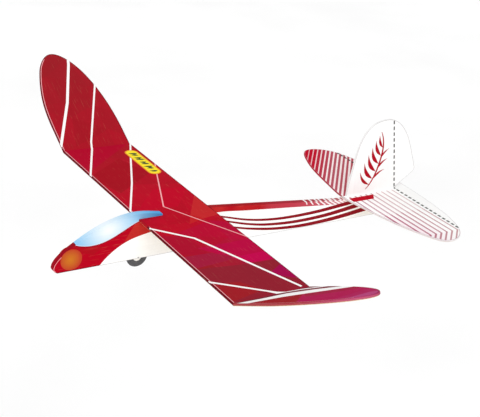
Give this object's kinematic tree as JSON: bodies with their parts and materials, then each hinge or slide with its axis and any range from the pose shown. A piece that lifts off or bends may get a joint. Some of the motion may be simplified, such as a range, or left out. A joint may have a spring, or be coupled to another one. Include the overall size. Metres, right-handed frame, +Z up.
{
  "type": "hand glider",
  "caption": "Balsa hand glider with raised wing tips, a profile fuselage, a small belly wheel and bendable elevator and rudder.",
  "frame": {"origin": "centre of the whole glider's box, at its bottom, which is the lowest point of the wheel", "axes": "+X towards the nose, +Y towards the left wing tip, +Z up out of the wing's flat top face"},
  "size_m": [0.3482, 0.4914, 0.0975],
  "materials": {
    "printed_balsa_body": "matt printed ink on sanded balsa, white with red top",
    "printed_balsa_wing": "satin printed ink on sanded balsa",
    "printed_balsa_tail": "matt printed ink on sanded balsa",
    "steel_slug": "turned",
    "steel_wire": "drawn",
    "orange_paper": "printed paper sticker",
    "yellow_paper": "printed paper sticker",
    "white_plastic": "moulded",
    "grey_rubber": "moulded"
  },
  "bodies": {
    "airframe": {"fuselage": "printed_balsa_body", "nose_weight": "steel_slug", "nose_disc_left": "orange_paper", "nose_disc_right": "orange_paper", "wing_centre": "printed_balsa_wing", "wing_tip_left": "printed_balsa_wing", "wing_tip_right": "printed_balsa_wing", "wing_badge": "yellow_paper", "stabiliser": "printed_balsa_tail", "fin": "printed_balsa_tail", "axle": "steel_wire"},
    "elevator": {"elevator": "printed_balsa_tail"},
    "rudder": {"rudder": "printed_balsa_tail"},
    "wheel": {"wheel_hub": "white_plastic", "tyre": "grey_rubber"}
  },
  "joints": [
    {"name": "elevator_fold", "type": "hinge", "parent": "airframe", "child": "elevator", "pos_m": [-0.15443, 0, 0.02875], "axis": [0, 1, 0], "range_deg": [-25, 25]},
    {"name": "rudder_fold", "type": "hinge", "parent": "airframe", "child": "rudder", "pos_m": [-0.15393, 0, 0.0295], "axis": [0.1878, 0, 0.9822], "range_deg": [-25, 25]},
    {"name": "wheel_spin", "type": "hinge", "parent": "airframe", "child": "wheel", "pos_m": [0.10237, 0, 0.009], "axis": [0, 1, 0], "continuous": true}
  ]
}
